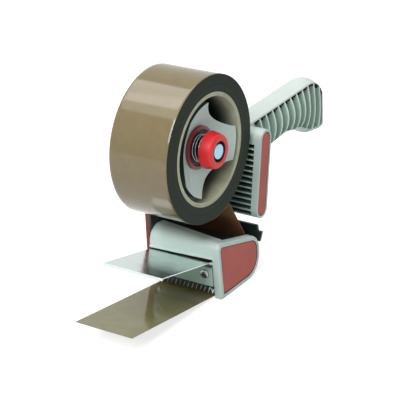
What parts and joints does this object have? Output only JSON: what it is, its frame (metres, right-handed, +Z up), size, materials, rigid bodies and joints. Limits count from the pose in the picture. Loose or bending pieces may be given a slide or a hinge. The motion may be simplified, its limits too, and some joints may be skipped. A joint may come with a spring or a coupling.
{
  "type": "packing tape dispenser",
  "caption": "Hand-held packing tape dispenser: ribbed pistol handle, side plate, braked tape reel, application roller, toothed cutter blade and sprung guard flap, with tape threaded.",
  "frame": {"origin": "middle of the bounding box on the floor that the head stands on", "axes": "+X across the tape towards the open loading side, +Y back to the handle, +Z up"},
  "size_m": [0.064, 0.291, 0.1682],
  "materials": {
    "chassis_black": "satin",
    "cover_red": "satin",
    "screw_steel": "satin",
    "moulding_grey_green": "satin",
    "inlay_red": "satin",
    "blade_steel": "satin",
    "flap_bright": "polished",
    "axle_bright": "polished",
    "spring_steel": "satin",
    "knob_red": "gloss",
    "insert_brass": "satin",
    "tape_film": "gloss",
    "tape_wound": "gloss",
    "core_card": "matte",
    "bush_plastic": "satin",
    "roller_plastic": "satin",
    "roller_rubber": "matte"
  },
  "bodies": {
    "frame": {"chassis": "chassis_black", "side_cover": "cover_red", "side_screws": "screw_steel", "grip_frame": "moulding_grey_green", "column_inlay": "inlay_red", "head_housing": "moulding_grey_green", "cheek_inlay": "inlay_red", "roller_axle": "screw_steel", "blade_bracket": "moulding_grey_green", "cutter_blade": "blade_steel", "blade_screws": "screw_steel", "flap_pin": "screw_steel", "flap_spring": "spring_steel", "axle": "axle_bright", "axle_nut": "screw_steel", "brake_cup": "knob_red", "brake_spring": "spring_steel", "tape_strip": "tape_film"},
    "reel": {"hub": "moulding_grey_green", "hub_bush": "bush_plastic", "tape_core": "core_card", "tape_roll": "tape_wound"},
    "roller": {"roller_core": "roller_plastic", "roller_sleeve": "roller_rubber"},
    "flap": {"guard_flap": "flap_bright"},
    "washer": {"brake_washer": "screw_steel"},
    "knob": {"brake_knob": "knob_red", "knob_insert": "insert_brass"}
  },
  "joints": [
    {"name": "reel_spin", "type": "hinge", "parent": "frame", "child": "reel", "pos_m": [0, -0.042, 0.1147], "axis": [1, 0, 0], "continuous": true},
    {"name": "roller_spin", "type": "hinge", "parent": "frame", "child": "roller", "pos_m": [0, -0.009, 0.0166], "axis": [1, 0, 0], "continuous": true},
    {"name": "flap_press", "type": "hinge", "parent": "frame", "child": "flap", "pos_m": [0, -0.0435, 0.027], "axis": [1, 0, 0], "range_deg": [0, 25], "stiffness_Nm_per_rad": 0.04, "springref_deg": -34.38},
    {"name": "brake_slide", "type": "slide", "parent": "frame", "child": "washer", "axis": [1, 0, 0], "range_m": [-0.00187, 0], "deforming": ["brake_spring"]},
    {"name": "knob_turn", "type": "hinge", "parent": "washer", "child": "knob", "pos_m": [0.027, -0.042, 0.1147], "axis": [1, 0, 0], "range_deg": [-540, 0]}
  ],
  "couplings": [
    {"joint": "roller_spin", "follows": "reel_spin", "ratio": -3.5197},
    {"joint": "brake_slide", "follows": "knob_turn", "m_per_rad": 0.00019894}
  ]
}
